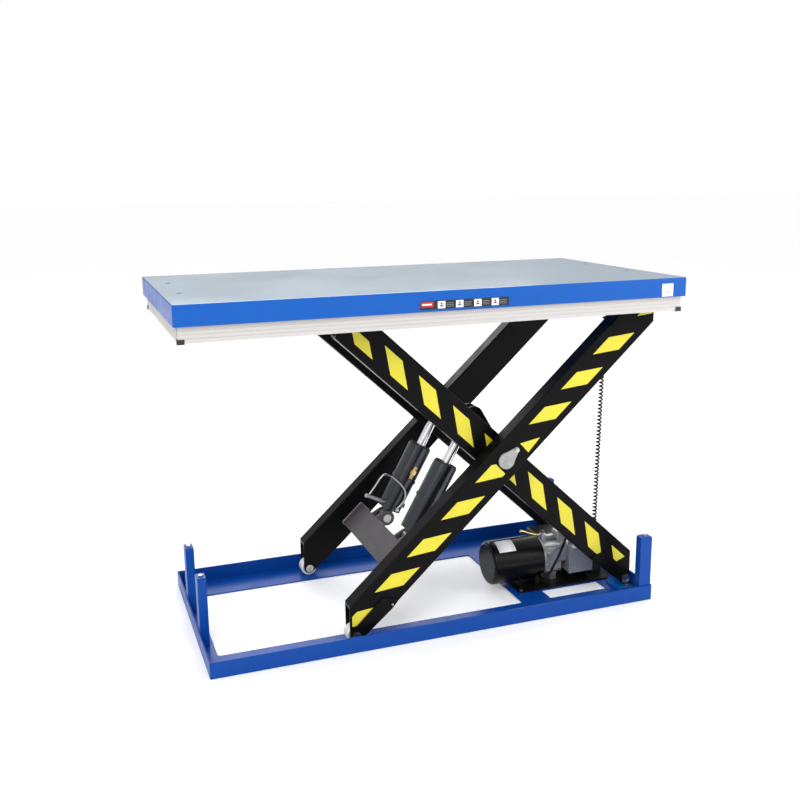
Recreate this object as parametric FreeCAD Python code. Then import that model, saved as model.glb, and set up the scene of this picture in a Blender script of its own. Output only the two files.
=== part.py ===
import FreeCAD, Part

import math
import os

os.makedirs("parts", exist_ok=True)

V = FreeCAD.Vector

# ---------------------------------------------------------------- driving dimensions, in millimetres
# The frame: +Z up, +X along the length towards the end with the fixed pivots, -Y the front.
# The origin is the middle of the base, on the floor. The table is modelled raised.

PLATFORM_LENGTH = 2000.0
PLATFORM_WIDTH = 1000.0
RAISED_HEIGHT = 1380.0
CLOSED_HEIGHT = 300.0
SKIRT_HEIGHT = 75.0
DECK_THICKNESS = 8.0
SKIRT_THICKNESS = 5.0
LABEL_RECESS = 0.7

BASE_LENGTH = 1880.0
BASE_WIDTH = 900.0
WALL_HEIGHT = 65.0
WALL_THICKNESS = 6.0
FLOOR_THICKNESS = 5.0

ARM_PIVOT_LENGTH = 1800.0
ARM_PIVOT_OFFSET = 37.0
ARM_DEPTH = 140.0
ARM_WIDTH = 70.0
ARM_WALL = 8.0
OUTER_ARM_FACE = 392.0
INNER_ARM_FACE = 296.0
DOUBLER = 6.0

PIVOT_X = 905.0
AXLE_HEIGHT = 40.0
ROLLER_RADIUS = 34.7
ROLLER_WIDTH = 50.0
AXLE_RADIUS = 12.5
PIVOT_PIN_RADIUS = 15.0
CENTRE_PIN_RADIUS = 25.0
RUNNING_CLEARANCE = 0.05
BODY_GAP = 0.3
END_RADIUS = 24.0

CYLINDER_Y = 147.0
BARREL_RADIUS = 52.0
BARREL_BORE = 44.0
BARREL_LENGTH = 308.0
ROD_RADIUS = 20.0
EYE_RADIUS = 30.0
BLOCK_RADIUS = 28.0
EYE_WIDTH = 40.0
LUG_THICKNESS = 12.0
BARREL_PIVOT = (-492.0, -47.0)
ROD_PIVOT = (125.0, 68.0)

BAR_HEIGHT = 66.0
BAR_WIDTH = 25.0
BAR_BOTTOM = 1247.0
BAR_INSET = 15.0

MOTOR_RADIUS = 95.0
MOTOR_Y = -100.0
MOTOR_Z = 122.0
MOTOR_LEFT = 326.0
MOTOR_RIGHT = 564.0
TRAY_TOP = 11.0

CORD_RADIUS = 11.5
CORD_BOTTOM = V(858.0, -100.0, 118.0)
CORD_TOP = V(884.0, -100.0, 1335.0)

# ---------------------------------------------------------------- derived positions

TOP_PIVOT_Z = RAISED_HEIGHT - 63.0
HALF_ARM = ARM_PIVOT_LENGTH / 2
LINE_ANGLE = math.asin((TOP_PIVOT_Z - AXLE_HEIGHT) / ARM_PIVOT_LENGTH)
OFFSET_ANGLE = math.asin(ARM_PIVOT_OFFSET / HALF_ARM)
ARM_ANGLE = LINE_ANGLE - OFFSET_ANGLE
ARM_REACH = math.sqrt(HALF_ARM**2 - ARM_PIVOT_OFFSET**2)
CENTRE_X = PIVOT_X - HALF_ARM * math.cos(LINE_ANGLE)
CENTRE_Z = AXLE_HEIGHT + HALF_ARM * math.sin(LINE_ANGLE)
ROLLER_X = PIVOT_X - ARM_PIVOT_LENGTH * math.cos(LINE_ANGLE)
HALF_DEPTH = ARM_DEPTH / 2
DECK_BOTTOM = RAISED_HEIGHT - DECK_THICKNESS
TRACK_BOTTOM = TOP_PIVOT_Z + 35.0
HALF_BASE = BASE_LENGTH / 2
HALF_PLATFORM = PLATFORM_LENGTH / 2


# ---------------------------------------------------------------- shape helpers

def save(name, *solids):
    """Write one sub-part; several solids in it stay separate."""
    flat = []
    for shape in solids:
        flat.extend(shape.Solids)
    shape = flat[0] if len(flat) == 1 else Part.makeCompound(flat)
    shape.exportStep("parts/" + name + ".step")


def box(x0, x1, y0, y1, z0, z1):
    return Part.makeBox(x1 - x0, y1 - y0, z1 - z0, V(x0, y0, z0))


def rod(radius, start, end):
    axis = end - start
    return Part.makeCylinder(radius, axis.Length, start, axis)


def y_rod(radius, x, z, y0, y1):
    return rod(radius, V(x, min(y0, y1), z), V(x, max(y0, y1), z))


def x_rod(radius, y, z, x0, x1):
    return rod(radius, V(x0, y, z), V(x1, y, z))


def z_rod(radius, x, y, z0, z1):
    return rod(radius, V(x, y, z0), V(x, y, z1))


def prism(points, y0, y1):
    """An outline in the X-Z plane, pushed from y0 to y1."""
    low, high = min(y0, y1), max(y0, y1)
    corners = [V(x, low, z) for x, z in points]
    wire = Part.makePolygon(corners + corners[:1])
    return Part.Face(wire).extrude(V(0, high - low, 0))


def hexagon(across, centre, axis, length):
    """A hexagonal bolt head or nut."""
    radius = across / math.sqrt(3)
    corners = [V(radius * math.cos(math.radians(60 * i)), radius * math.sin(math.radians(60 * i)), 0)
               for i in range(7)]
    head = Part.Face(Part.makePolygon(corners)).extrude(V(0, 0, length))
    head.Placement = FreeCAD.Placement(centre, FreeCAD.Rotation(V(0, 0, 1), axis))
    return head


def ring(outer, inner, start, end):
    return rod(outer, start, end).cut(rod(inner, start, end))


def tangent_point(point, centre, radius, side):
    """Where a line from the point touches the circle; side is 1 or -1."""
    dx, dz = point[0] - centre[0], point[1] - centre[1]
    distance = math.hypot(dx, dz)
    turn = math.atan2(dz, dx) + side * math.acos(radius / distance)
    return (centre[0] + radius * math.cos(turn), centre[1] + radius * math.sin(turn))


def tube_path(points, radii):
    """Straight runs joined by tangent arcs."""
    edges = []
    last = points[0]
    for before, corner, after, radius in zip(points, points[1:], points[2:], radii):
        towards = (before - corner).normalize()
        away = (after - corner).normalize()
        half = math.acos(max(-1.0, min(1.0, towards.dot(away)))) / 2
        reach = radius / math.tan(half)
        middle = (towards + away).normalize() * (radius / math.sin(half) - radius)
        start = corner + towards * reach
        end = corner + away * reach
        edges.append(Part.LineSegment(last, start).toShape())
        edges.append(Part.Arc(start, corner + middle, end).toShape())
        last = end
    edges.append(Part.LineSegment(last, points[-1]).toShape())
    return Part.Wire(edges)


def tube(points, radii, thickness):
    path = tube_path(points, radii)
    section = Part.Wire(Part.makeCircle(thickness, points[0], points[1] - points[0]))
    return path.makePipeShell([section], True, False)


def gentle_radii(points):
    """For each inner point, a bend that uses nearly half of the shorter run beside it."""
    radii = []
    for before, corner, after in zip(points, points[1:], points[2:]):
        towards = before - corner
        away = after - corner
        shorter = min(towards.Length, away.Length)
        turn = math.pi - towards.getAngle(away)
        radii.append(0.45 * shorter / math.tan(turn / 2))
    return radii


# ---------------------------------------------------------------- the two arm frames

def outer_place(shape):
    """From an arm's own frame, X along it and the centre pivot at the origin, to an outer arm."""
    moved = shape.copy()
    moved.rotate(V(0, 0, 0), V(0, 1, 0), -math.degrees(ARM_ANGLE))
    moved.translate(V(CENTRE_X, 0, CENTRE_Z))
    return moved


def inner_place(shape):
    """The same for an inner arm, which is the mirror image of an outer one."""
    return outer_place(shape).mirror(V(CENTRE_X, 0, 0), V(1, 0, 0))


def outer_point(along, above, y=0.0):
    x = CENTRE_X + along * math.cos(ARM_ANGLE) - above * math.sin(ARM_ANGLE)
    z = CENTRE_Z + along * math.sin(ARM_ANGLE) + above * math.cos(ARM_ANGLE)
    return V(x, y, z)


def inner_point(along, above, y=0.0):
    point = outer_point(along, above, y)
    return V(2 * CENTRE_X - point.x, y, point.z)


# ---------------------------------------------------------------- the arms

LEFTWARDS = (-math.cos(ARM_ANGLE), math.sin(ARM_ANGLE))
UPWARDS = (math.sin(ARM_ANGLE), math.cos(ARM_ANGLE))
LOW_PIVOT = (-ARM_REACH, -ARM_PIVOT_OFFSET)
TAPER_LENGTH = 170.0


def arm_end():
    """The lower end's outline: upright cut, round nose about the pivot, then a taper to the edge."""
    nose = (LOW_PIVOT[0] + END_RADIUS * LEFTWARDS[0], LOW_PIVOT[1] + END_RADIUS * LEFTWARDS[1])
    rise = (HALF_DEPTH - nose[1]) / UPWARDS[1]
    top = (nose[0] + rise * UPWARDS[0], HALF_DEPTH)
    taper = (-ARM_REACH + TAPER_LENGTH, -HALF_DEPTH)
    touch = tangent_point(taper, LOW_PIVOT, END_RADIUS, -1)
    start = math.atan2(LEFTWARDS[1], LEFTWARDS[0])
    stop = math.atan2(touch[1] - LOW_PIVOT[1], touch[0] - LOW_PIVOT[0])
    middle = (start + stop + 2 * math.pi) / 2
    bottom = (LOW_PIVOT[0] + END_RADIUS * math.cos(middle), LOW_PIVOT[1] + END_RADIUS * math.sin(middle))
    return top, nose, bottom, touch, taper


def arm_outline():
    """The whole outline, which looks the same turned half round."""
    top, nose, bottom, touch, taper = arm_end()
    edges = []
    for turn in (1, -1):
        a, b, c, d, e = [V(turn * p[0], 0, turn * p[1]) for p in (top, nose, bottom, touch, taper)]
        edges.append(Part.LineSegment(a, b).toShape())
        edges.append(Part.Arc(b, c, d).toShape())
        edges.append(Part.LineSegment(d, e).toShape())
        edges.append(Part.LineSegment(e, V(-turn * top[0], 0, -turn * top[1])).toShape())
    return Part.Wire(Part.__sortEdges__(edges))


def round_long_edges(shape, radius):
    """Round the edges that run the arm's whole length."""
    long_edges = [e for e in shape.Edges if e.Length > 1400 and abs(e.tangentAt(e.FirstParameter).x) > 0.99]
    return shape.makeFillet(radius, long_edges)


def arm(outer_face, front):
    """A box-section arm in its own frame. front is -1 for the front arm, 1 for the rear one."""
    inside = outer_face - ARM_WIDTH
    low, high = sorted((front * outer_face, front * inside))
    body = Part.Face(arm_outline()).extrude(V(0, ARM_WIDTH, 0))
    body.translate(V(0, low, 0))
    body = round_long_edges(body, 5.0)
    top, nose, bottom, touch, taper = arm_end()
    reach = ARM_REACH + 200
    room = HALF_DEPTH - ARM_WALL
    body = body.cut(box(-reach, reach, low + ARM_WALL, high - ARM_WALL, -room, room))
    for turn in (1, -1):
        edge_low, edge_high = sorted((turn * taper[0], -turn * reach))
        slot_low, slot_high = sorted((-turn * (HALF_DEPTH + 5), turn * room))
        body = body.cut(box(edge_low, edge_high, low + ARM_WALL, high - ARM_WALL, slot_low, slot_high))
    body = body.fuse(y_rod(40.0, 0, 0, low, high))
    body = body.fuse(doubler(outer_face, front, 1)).fuse(doubler(outer_face, front, -1))
    return body.removeSplitter()


def doubler(outer_face, front, turn):
    """The plate welded on the outer face round each end pivot."""
    top, nose, bottom, touch, taper = arm_end()
    line_start = (nose[0] + 18 * UPWARDS[0], nose[1] + 18 * UPWARDS[1])
    line_end = (taper[0] + 8, -6.0)
    points = [line_start, line_end, (taper[0] + 45, -HALF_DEPTH + 6), (taper[0], -HALF_DEPTH + 1),
              touch, bottom, nose]
    points = [(turn * u, turn * w) for u, w in points]
    return prism(points, front * outer_face, front * (outer_face + DOUBLER))


def make_arm(outer_face, front, centre_bore, low_bore, high_bore):
    body = arm(outer_face, front)
    reach = outer_face + 20
    body = body.cut(y_rod(centre_bore, 0, 0, 0, front * reach))
    body = body.cut(y_rod(low_bore, LOW_PIVOT[0], LOW_PIVOT[1], 0, front * reach))
    return body.cut(y_rod(high_bore, -LOW_PIVOT[0], -LOW_PIVOT[1], 0, front * reach))


BUSH_OUTER = 32.0
SIDES = (("front", -1), ("rear", 1))

for side, front in SIDES:
    outer = make_arm(OUTER_ARM_FACE, front, CENTRE_PIN_RADIUS + RUNNING_CLEARANCE,
                     AXLE_RADIUS, PIVOT_PIN_RADIUS + RUNNING_CLEARANCE)
    save("outer_arm_" + side, outer_place(outer))
    inner = make_arm(INNER_ARM_FACE, front, BUSH_OUTER,
                     PIVOT_PIN_RADIUS + RUNNING_CLEARANCE, AXLE_RADIUS)
    save("inner_arm_" + side, inner_place(inner))


# ---------------------------------------------------------------- centre pivots

OUTER_INSIDE = OUTER_ARM_FACE - ARM_WIDTH
INNER_INSIDE = INNER_ARM_FACE - ARM_WIDTH
KEEPER_THICKNESS = 8.0
KEEPER_REACH = 59.0

centre_pins = []
centre_bushes = []
keepers = []
keeper_screws = []
for side, front in SIDES:
    centre_pins.append(y_rod(CENTRE_PIN_RADIUS, CENTRE_X, CENTRE_Z, front * (INNER_INSIDE + 3),
                             front * OUTER_ARM_FACE))
    bush = y_rod(BUSH_OUTER, CENTRE_X, CENTRE_Z, front * (INNER_INSIDE + 2), front * INNER_ARM_FACE)
    bush = bush.fuse(y_rod(42.0, CENTRE_X, CENTRE_Z, front * INNER_ARM_FACE,
                           front * (OUTER_INSIDE - BODY_GAP)))
    bush = bush.cut(y_rod(CENTRE_PIN_RADIUS + RUNNING_CLEARANCE, CENTRE_X, CENTRE_Z, front * 200,
                          front * 400))
    centre_bushes.append(bush)
    tip = (KEEPER_REACH, 0.0)
    disc = (0.0, 0.0)
    outline = [tangent_point(tip, disc, 33.0, 1), tangent_point(tip, disc, 33.0, -1), (KEEPER_REACH, -11),
               (KEEPER_REACH, 11)]
    keeper_low = front * OUTER_ARM_FACE
    keeper_high = front * (OUTER_ARM_FACE + KEEPER_THICKNESS)
    keeper = prism(outline, keeper_low, keeper_high)
    keeper = keeper.fuse(y_rod(34.0, 0, 0, keeper_low, keeper_high))
    keeper = keeper.fuse(y_rod(11.0, KEEPER_REACH, 0, keeper_low, keeper_high)).removeSplitter()
    keeper = keeper.cut(y_rod(5.0, KEEPER_REACH, 0, keeper_low, keeper_high))
    keepers.append(outer_place(keeper))
    screw = y_rod(5.0, KEEPER_REACH, 0, keeper_low, keeper_high)
    socket_head = y_rod(8.0, KEEPER_REACH, 0, keeper_high, front * (OUTER_ARM_FACE + KEEPER_THICKNESS + 7))
    socket = y_rod(3.5, KEEPER_REACH, 0, front * (OUTER_ARM_FACE + KEEPER_THICKNESS + 3),
                   front * (OUTER_ARM_FACE + KEEPER_THICKNESS + 8))
    keeper_screws.append(outer_place(screw.fuse(socket_head).cut(socket)))
save("centre_pins", *centre_pins)
save("centre_bushes", *centre_bushes)
save("keeper_plates", *keepers)
save("keeper_screws", *keeper_screws)


# ---------------------------------------------------------------- rollers and their axles

def roller(x, z, y_centre):
    """A nylon roller with chamfered rims and a recessed hub face."""
    half = ROLLER_WIDTH / 2
    wheel = y_rod(ROLLER_RADIUS, x, z, y_centre - half, y_centre + half)
    rims = [e for e in wheel.Edges if e.Closed]
    wheel = wheel.makeChamfer(2.0, rims)
    for turn in (-1, 1):
        face = y_centre + turn * half
        groove = ring(27.0, 20.0, V(x, face - turn * 3, z), V(x, face, z))
        wheel = wheel.cut(groove)
    bore = AXLE_RADIUS + RUNNING_CLEARANCE
    return wheel.cut(y_rod(bore, x, z, y_centre - half, y_centre + half))


def axle(x, z, outer_face, front):
    """A headed axle through both cheeks of an arm's end."""
    cheek = outer_face + DOUBLER
    shaft = y_rod(AXLE_RADIUS, x, z, front * (outer_face - ARM_WIDTH), front * cheek)
    head = y_rod(19.0, x, z, front * cheek, front * (cheek + 6))
    recess = y_rod(9.0, x, z, front * (cheek + 3), front * (cheek + 6))
    collar = y_rod(17.0, x, z, front * (outer_face - ARM_WIDTH - 4), front * (outer_face - ARM_WIDTH))
    dimple = y_rod(8.5, x, z, front * (outer_face - ARM_WIDTH - 4), front * (outer_face - ARM_WIDTH + 9))
    return shaft.fuse(head).cut(recess).fuse(collar).cut(dimple).removeSplitter()


OUTER_MIDDLE = OUTER_ARM_FACE - ARM_WIDTH / 2
INNER_MIDDLE = INNER_ARM_FACE - ARM_WIDTH / 2

for side, front in SIDES:
    save("lower_roller_" + side, roller(ROLLER_X, AXLE_HEIGHT, front * OUTER_MIDDLE))
    save("upper_roller_" + side, roller(ROLLER_X, TOP_PIVOT_Z, front * INNER_MIDDLE))
save("lower_axles", *[axle(ROLLER_X, AXLE_HEIGHT, OUTER_ARM_FACE, front) for side, front in SIDES])
save("upper_axles", *[axle(ROLLER_X, TOP_PIVOT_Z, INNER_ARM_FACE, front) for side, front in SIDES])


# ---------------------------------------------------------------- fixed pivots at the right-hand end

def pivot_block(y_centre, floor, turn):
    """The lug between an arm's two cheeks. turn is 1 standing on the base, -1 under the deck."""
    half = ROLLER_WIDTH / 2
    pivot_z = floor + turn * 35.0
    corner = (PIVOT_X - 60, floor)
    shoulder = tangent_point((PIVOT_X - 60, floor + turn * 8), (PIVOT_X, pivot_z), BLOCK_RADIUS, -turn)
    outline = [corner, (PIVOT_X + BLOCK_RADIUS, floor), (PIVOT_X + BLOCK_RADIUS, pivot_z),
               (PIVOT_X, pivot_z), shoulder, (PIVOT_X - 60, floor + turn * 8)]
    block = prism(outline, y_centre - half, y_centre + half)
    block = block.fuse(y_rod(BLOCK_RADIUS, PIVOT_X, pivot_z, y_centre - half, y_centre + half))
    return block.removeSplitter(), pivot_z


def pivot_pin(z, outer_face, front):
    """A headed pin held by the block, with a running gap to the arm's cheeks."""
    cheek = outer_face + DOUBLER + BODY_GAP
    inside = outer_face - ARM_WIDTH - BODY_GAP
    shaft = y_rod(PIVOT_PIN_RADIUS, PIVOT_X, z, front * inside, front * cheek)
    head = y_rod(21.0, PIVOT_X, z, front * cheek, front * (cheek + 6))
    recess = y_rod(12.0, PIVOT_X, z, front * (cheek + 3), front * (cheek + 6))
    collar = y_rod(20.0, PIVOT_X, z, front * (inside - 5), front * inside)
    return shaft.fuse(head).cut(recess).fuse(collar).removeSplitter()


FOOT_THICKNESS = 8.0
lower_blocks = []
upper_blocks = []
block_bolts = []
for side, front in SIDES:
    block, block_z = pivot_block(front * INNER_MIDDLE, FLOOR_THICKNESS, 1)
    foot_low, foot_high = sorted((front * (INNER_INSIDE + 4), front * 335.0))
    foot = box(PIVOT_X - 55, PIVOT_X + 28, foot_low, foot_high, FLOOR_THICKNESS,
               FLOOR_THICKNESS + FOOT_THICKNESS)
    block = block.fuse(foot).removeSplitter()
    lower_blocks.append(block.cut(y_rod(PIVOT_PIN_RADIUS, PIVOT_X, block_z, front * 200, front * 400)))
    for bolt_x in (PIVOT_X - 4, PIVOT_X + 17):
        bolt_top = FLOOR_THICKNESS + FOOT_THICKNESS
        head = hexagon(15.0, V(bolt_x, front * 321.0, bolt_top), V(0, 0, 1), 7.0)
        block_bolts.append(head)
    block, block_z = pivot_block(front * OUTER_MIDDLE, TRACK_BOTTOM, -1)
    seat_low, seat_high = sorted((front * OUTER_INSIDE, front * (OUTER_ARM_FACE + 8)))
    seat = box(PIVOT_X - 80, PIVOT_X + 45, seat_low, seat_high, TRACK_BOTTOM, DECK_BOTTOM)
    block = block.fuse(seat).removeSplitter()
    upper_blocks.append(block.cut(y_rod(PIVOT_PIN_RADIUS, PIVOT_X, block_z, front * 200, front * 450)))
save("lower_pivot_blocks", *lower_blocks)
save("upper_pivot_blocks", *upper_blocks)
save("lower_pivot_pins", *[pivot_pin(AXLE_HEIGHT, INNER_ARM_FACE, front) for side, front in SIDES])
save("upper_pivot_pins", *[pivot_pin(TOP_PIVOT_Z, OUTER_ARM_FACE, front) for side, front in SIDES])


# ---------------------------------------------------------------- cross members of the arms

BEAM_START = -645.0
BEAM_END = -523.0
beam = box(BEAM_START, BEAM_END, -OUTER_INSIDE, OUTER_INSIDE, -58.0, 0.0)
beam = beam.cut(box(BEAM_START + 6, BEAM_END - 6, -OUTER_INSIDE, OUTER_INSIDE, -52.0, -6.0))
save("cross_beam", outer_place(beam))

TUBE_END = 58.0
lug_tube = box(0.0, TUBE_END, -INNER_INSIDE, INNER_INSIDE, 4.0, 60.0)
lug_tube = lug_tube.cut(box(6.0, TUBE_END - 6, -INNER_INSIDE, INNER_INSIDE, 10.0, 54.0))
save("lug_cross_tube", inner_place(lug_tube))

LUG_GAP = EYE_WIDTH / 2 + 0.5


def lug_pair_positions():
    """Where each lug plate starts and ends along Y, beside both cylinders' eyes."""
    spans = []
    for front in (-1, 1):
        for turn in (-1, 1):
            near = front * CYLINDER_Y + turn * LUG_GAP
            far = near + turn * LUG_THICKNESS
            spans.append((near, far, turn))
    return spans


barrel_lugs = []
rod_lugs = []
for near, far, turn in lug_pair_positions():
    face_top = (BEAM_END, -4.0)
    face_low = (BEAM_END, -58.0)
    upper = tangent_point(face_top, BARREL_PIVOT, 34.0, -1)
    lug = prism([face_top, face_low, BARREL_PIVOT, upper], near, far)
    lug = lug.fuse(y_rod(34.0, BARREL_PIVOT[0], BARREL_PIVOT[1], near, far)).removeSplitter()
    lug = lug.cut(box(BEAM_START, BEAM_END, -OUTER_INSIDE, OUTER_INSIDE, -58.0, 0.0))
    barrel_lugs.append(outer_place(lug.cut(y_rod(AXLE_RADIUS, BARREL_PIVOT[0], BARREL_PIVOT[1], near, far))))
    heel = (-25.0, 66.0)
    toe = (TUBE_END, 4.0)
    crest = tangent_point(heel, ROD_PIVOT, 42.0, -1)
    chin = tangent_point(toe, ROD_PIVOT, 42.0, 1)
    lug = prism([heel, (0.0, 40.0), (0.0, 4.0), toe, chin, ROD_PIVOT, crest], near, far)
    lug = lug.fuse(y_rod(42.0, ROD_PIVOT[0], ROD_PIVOT[1], near, far)).removeSplitter()
    lug = lug.cut(box(0.0, TUBE_END, -INNER_INSIDE, INNER_INSIDE, 4.0, 60.0))
    boss = y_rod(22.0, ROD_PIVOT[0], ROD_PIVOT[1], far, far + turn * 8)
    rod_lugs.append(inner_place(lug.fuse(boss)))
save("barrel_lugs", *barrel_lugs)
save("rod_lugs", *rod_lugs)


# ---------------------------------------------------------------- hydraulic cylinders

BARREL_EYE = outer_point(*BARREL_PIVOT)
ROD_EYE = inner_point(*ROD_PIVOT)
ROD_AXIS = (ROD_EYE - BARREL_EYE).normalize()
RAISED_LENGTH = (ROD_EYE - BARREL_EYE).Length
PIN_HEAD = 5.0


def on_cylinder(distance, side=0.0, y=0.0):
    """A point at a distance from the lower eye along the cylinder, and to one side of its axis."""
    across = V(-ROD_AXIS.z, 0, ROD_AXIS.x)
    return BARREL_EYE + ROD_AXIS * distance + across * side + V(0, y, 0)


def cylinder_barrel(y):
    start = 40.0
    end = start + BARREL_LENGTH
    barrel = rod(BARREL_RADIUS, on_cylinder(start, y=y), on_cylinder(end, y=y))
    barrel = barrel.cut(rod(BARREL_BORE, on_cylinder(start + 16, y=y), on_cylinder(end, y=y)))
    eye = rod(EYE_RADIUS, on_cylinder(0, y=y - EYE_WIDTH / 2), on_cylinder(0, y=y + EYE_WIDTH / 2))
    neck = rod(24.0, on_cylinder(0, y=y), on_cylinder(start, y=y))
    neck = neck.common(box(-500, 500, y - EYE_WIDTH / 2, y + EYE_WIDTH / 2, 0, 900))
    collar = ring(BARREL_RADIUS + 4, BARREL_RADIUS - 1, on_cylinder(185, y=y), on_cylinder(197, y=y))
    port = rod(11.0, on_cylinder(75, y=y), on_cylinder(75, side=-BARREL_RADIUS - 10, y=y))
    port = port.cut(rod(BARREL_BORE + 0.5, on_cylinder(50, y=y), on_cylinder(100, y=y)))
    body = barrel.fuse(eye).fuse(neck).fuse(collar).fuse(port)
    bore = AXLE_RADIUS + RUNNING_CLEARANCE
    body = body.cut(rod(bore, on_cylinder(0, y=y - 60), on_cylinder(0, y=y + 60)))
    return body.removeSplitter()


def cylinder_gland(y):
    """The screwed gland that closes the barrel's mouth and guides the rod."""
    end = 40.0 + BARREL_LENGTH
    plug = rod(BARREL_BORE, on_cylinder(end - 34, y=y), on_cylinder(end, y=y))
    cap = rod(BARREL_RADIUS - 4, on_cylinder(end, y=y), on_cylinder(end + 7, y=y))
    bore = rod(ROD_RADIUS + RUNNING_CLEARANCE, on_cylinder(end - 40, y=y), on_cylinder(end + 20, y=y))
    return plug.fuse(cap).cut(bore).removeSplitter()


def cylinder_rod(y):
    """The chromed rod with its piston and its welded eye."""
    piston_top = 40.0 + BARREL_LENGTH - 50.0
    stem = rod(ROD_RADIUS, on_cylinder(piston_top - 60, y=y), on_cylinder(RAISED_LENGTH - 20, y=y))
    piston = rod(BARREL_BORE - RUNNING_CLEARANCE, on_cylinder(piston_top - 50, y=y),
                 on_cylinder(piston_top - 10, y=y))
    eye = rod(EYE_RADIUS, on_cylinder(RAISED_LENGTH, y=y - EYE_WIDTH / 2),
              on_cylinder(RAISED_LENGTH, y=y + EYE_WIDTH / 2))
    bore = rod(PIVOT_PIN_RADIUS, on_cylinder(RAISED_LENGTH, y=y - 40), on_cylinder(RAISED_LENGTH, y=y + 40))
    return stem.fuse(piston).fuse(eye).cut(bore).removeSplitter()


def eye_pin(y):
    return rod(PIVOT_PIN_RADIUS, on_cylinder(RAISED_LENGTH, y=y - EYE_WIDTH / 2),
               on_cylinder(RAISED_LENGTH, y=y + EYE_WIDTH / 2))


barrel_pins = []
for side, front in SIDES:
    y = front * CYLINDER_Y
    save("cylinder_barrel_" + side, cylinder_barrel(y))
    save("cylinder_gland_" + side, cylinder_gland(y))
    save("cylinder_rod_" + side, cylinder_rod(y), eye_pin(y))
    reach = LUG_GAP + LUG_THICKNESS
    pin = rod(AXLE_RADIUS, on_cylinder(0, y=y - reach - PIN_HEAD), on_cylinder(0, y=y + reach + PIN_HEAD))
    for turn in (-1, 1):
        near, far = sorted((y + turn * reach, y + turn * (reach + PIN_HEAD)))
        pin = pin.fuse(rod(18.0, on_cylinder(0, y=near), on_cylinder(0, y=far)))
    barrel_pins.append(pin.removeSplitter())
save("barrel_pins", *barrel_pins)

# The bent steel pipe, its end fittings and the brass flow valve on the rear cylinder.
PIPE_RADIUS = 4.0
PIPE_Y = CYLINDER_Y - BARREL_RADIUS - 8.0
PIPE_ROUTE = ((70, 141), (112, 133), (150, 130), (181, 120), (178, 80), (165, 28), (147, -4),
              (119, -22), (85, -19), (60, -8))
pipe_points = [on_cylinder(along, side, PIPE_Y) for along, side in PIPE_ROUTE]
pipe = tube(pipe_points, gentle_radii(pipe_points), PIPE_RADIUS)
save("hydraulic_pipe", pipe)
whole_barrel = rod(BARREL_RADIUS, on_cylinder(0, 0, CYLINDER_Y), on_cylinder(380, 0, CYLINDER_Y))
VALVE_LINE_Y = CYLINDER_Y - BARREL_RADIUS - 10.0
valve = rod(8.5, on_cylinder(205, 0, VALVE_LINE_Y), on_cylinder(262, 0, VALVE_LINE_Y))
valve = valve.fuse(hexagon(22.0, on_cylinder(226, 0, VALVE_LINE_Y), ROD_AXIS, 18.0))
valve = valve.fuse(rod(7.0, on_cylinder(214, 0, VALVE_LINE_Y), on_cylinder(214, 0, CYLINDER_Y - 40)))
upper_fitting = rod(9.0, on_cylinder(61, 40, CYLINDER_Y - 20), on_cylinder(61, 154, PIPE_Y - 3))
lower_fitting = rod(8.0, on_cylinder(56, -8, PIPE_Y - 10), on_cylinder(56, -8, CYLINDER_Y - 40))
fittings = []
for fitting in (valve, upper_fitting, lower_fitting):
    fittings.extend(fitting.cut(whole_barrel).cut(pipe).removeSplitter().Solids)
save("flow_valve", *fittings)


# ---------------------------------------------------------------- base

def rounded_pocket(x0, x1, y0, y1, radius):
    pocket = box(x0, x1, y0, y1, -1, FLOOR_THICKNESS + 1)
    uprights = [e for e in pocket.Edges if abs(e.tangentAt(e.FirstParameter).z) > 0.99]
    return pocket.makeFillet(radius, uprights)


half_width = BASE_WIDTH / 2
base = box(-HALF_BASE, HALF_BASE, -half_width, half_width, 0, WALL_HEIGHT)
corners = [e for e in base.Edges if abs(e.tangentAt(e.FirstParameter).z) > 0.99]
base = base.makeFillet(6.0, corners)
base = base.cut(box(-HALF_BASE + WALL_THICKNESS, HALF_BASE - WALL_THICKNESS,
                    -half_width + WALL_THICKNESS, half_width - WALL_THICKNESS,
                    FLOOR_THICKNESS, WALL_HEIGHT + 1))
base = base.cut(rounded_pocket(-885.0, 408.0, -290.0, 280.0, 14.0))
for front in (-1, 1):
    pocket_low, pocket_high = sorted((front * 207.0, front * 292.0))
    base = base.cut(rounded_pocket(540.0, 815.0, pocket_low, pocket_high, 3.0))
for x in (-HALF_BASE + 80, HALF_BASE - 60):
    for front in (-1, 1):
        base = base.cut(z_rod(9.0, x, front * 390.0, -1, FLOOR_THICKNESS + 1))
save("base_frame", base.removeSplitter())

POST_TOP = 285.0
post_sites = [(-934.0, -899.0, 135.0, 195.0), (-934.0, -899.0, -195.0, -135.0),
              (879.0, 934.0, -444.0, -409.0), (879.0, 934.0, 409.0, 444.0)]
posts = []
post_screws = []
for x0, x1, y0, y1 in post_sites:
    post = box(x0, x1, y0, y1, FLOOR_THICKNESS, POST_TOP)
    along_x = (x1 - x0) > (y1 - y0)
    crown = []
    for edge in post.Edges:
        middle = edge.CenterOfMass
        rounded = abs(middle.x - (x0 + x1) / 2) > 10 if along_x else abs(middle.y - y0) < 1
        if middle.z > POST_TOP - 1 and rounded:
            crown.append(edge)
    post = post.makeFillet(9.0, crown)
    post = post.cut(box(x0 + 4, x1 - 4, y0 + 4, y1 - 4, FLOOR_THICKNESS, POST_TOP - 12))
    middle_x, middle_y = (x0 + x1) / 2, (y0 + y1) / 2
    posts.append(post.cut(z_rod(5.0, middle_x, middle_y, POST_TOP - 20, POST_TOP + 1)))
    screw = z_rod(5.0, middle_x, middle_y, POST_TOP - 30, POST_TOP)
    head = hexagon(16.0, V(middle_x, middle_y, POST_TOP), V(0, 0, 1), 6.5)
    post_screws.append(screw.fuse(head))
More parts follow.
